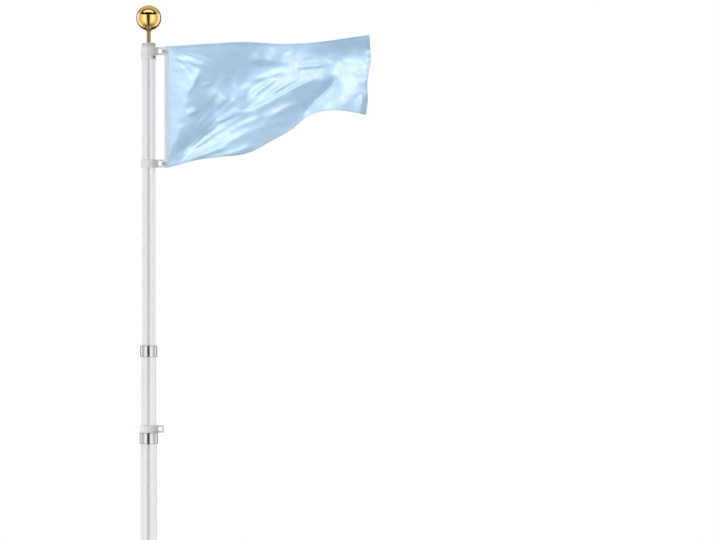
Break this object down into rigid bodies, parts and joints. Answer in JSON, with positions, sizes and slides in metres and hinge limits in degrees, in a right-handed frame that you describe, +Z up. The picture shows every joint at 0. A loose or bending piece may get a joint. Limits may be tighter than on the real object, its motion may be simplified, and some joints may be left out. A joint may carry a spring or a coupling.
{
  "type": "telescoping flagpole with flag",
  "caption": "Telescoping aluminium flagpole with chromed collars, gold ball finial, swivelling flag rings and a plain light blue flag.",
  "frame": {"origin": "on the pole's axis at the ground, in the flat underside of the foot plug", "axes": "+Z up along the pole's axis, +X the way the flag flies at rest"},
  "size_m": [0.9385, 0.1, 4.3893],
  "materials": {
    "tube_aluminium": "satin anodised, drawn",
    "collar_chrome": "polished",
    "bush_nylon": "moulded",
    "foot_plastic": "moulded",
    "ring_plastic": "moulded, satin",
    "cap_plastic": "moulded, smooth",
    "gold": "polished gold anodised",
    "screw_steel": "dark",
    "clip_steel": "bright wire",
    "eyelet_brass": "pressed",
    "flag_cloth": "light blue woven satin polyester",
    "heading_cloth": "white woven duck"
  },
  "bodies": {
    "ground_section": {"base_plug": "foot_plastic", "section_6": "tube_aluminium", "collar_6": "collar_chrome"},
    "fifth_section": {"section_5": "tube_aluminium", "collar_5": "collar_chrome", "guide_bush_5": "bush_nylon"},
    "fourth_section": {"section_4": "tube_aluminium", "collar_4": "collar_chrome", "guide_bush_4": "bush_nylon"},
    "third_section": {"section_3": "tube_aluminium", "collar_3": "collar_chrome", "guide_bush_3": "bush_nylon"},
    "second_section": {"section_2": "tube_aluminium", "collar_2": "collar_chrome", "guide_bush_2": "bush_nylon"},
    "top_section": {"section_1": "tube_aluminium", "guide_bush_1": "bush_nylon", "pole_cap": "cap_plastic", "finial_spindle": "gold", "finial_ball": "gold", "stop_ring": "ring_plastic", "stop_screw": "screw_steel"},
    "spare_flag_ring": {"spare_ring": "ring_plastic"},
    "flag_and_upper_ring": {"upper_ring": "ring_plastic", "upper_clip": "clip_steel", "upper_eyelet": "eyelet_brass", "flag_heading": "heading_cloth", "flag": "flag_cloth"},
    "lower_flag_ring": {"lower_ring": "ring_plastic", "lower_clip": "clip_steel", "lower_eyelet": "eyelet_brass"}
  },
  "joints": [
    {"name": "section_5_slide", "type": "slide", "parent": "ground_section", "child": "fifth_section", "axis": [0, 0, 1], "range_m": [0, 1.156]},
    {"name": "section_4_slide", "type": "slide", "parent": "fifth_section", "child": "fourth_section", "axis": [0, 0, 1], "range_m": [0, 1.147]},
    {"name": "section_3_slide", "type": "slide", "parent": "fourth_section", "child": "third_section", "axis": [0, 0, 1], "range_m": [-1.146, 0]},
    {"name": "section_2_slide", "type": "slide", "parent": "third_section", "child": "second_section", "axis": [0, 0, 1], "range_m": [-0.268, 0.857]},
    {"name": "section_1_slide", "type": "slide", "parent": "second_section", "child": "top_section", "axis": [0, 0, 1], "range_m": [-1.106, 0]},
    {"name": "spare_ring_turn", "type": "hinge", "parent": "third_section", "child": "spare_flag_ring", "pos_m": [0, 0, 2.68], "axis": [0, 0, 1], "continuous": true},
    {"name": "flag_turn", "type": "hinge", "parent": "top_section", "child": "flag_and_upper_ring", "pos_m": [0, 0, 4.239], "axis": [0, 0, 1], "continuous": true},
    {"name": "lower_ring_slide", "type": "slide", "parent": "flag_and_upper_ring", "child": "lower_flag_ring", "axis": [0, 0, 1], "range_m": [0, 0.399], "deforming": ["flag", "flag_heading"]}
  ],
  "couplings": [
    {"joint": "lower_ring_slide", "follows": "section_1_slide", "ratio": -0.36}
  ]
}
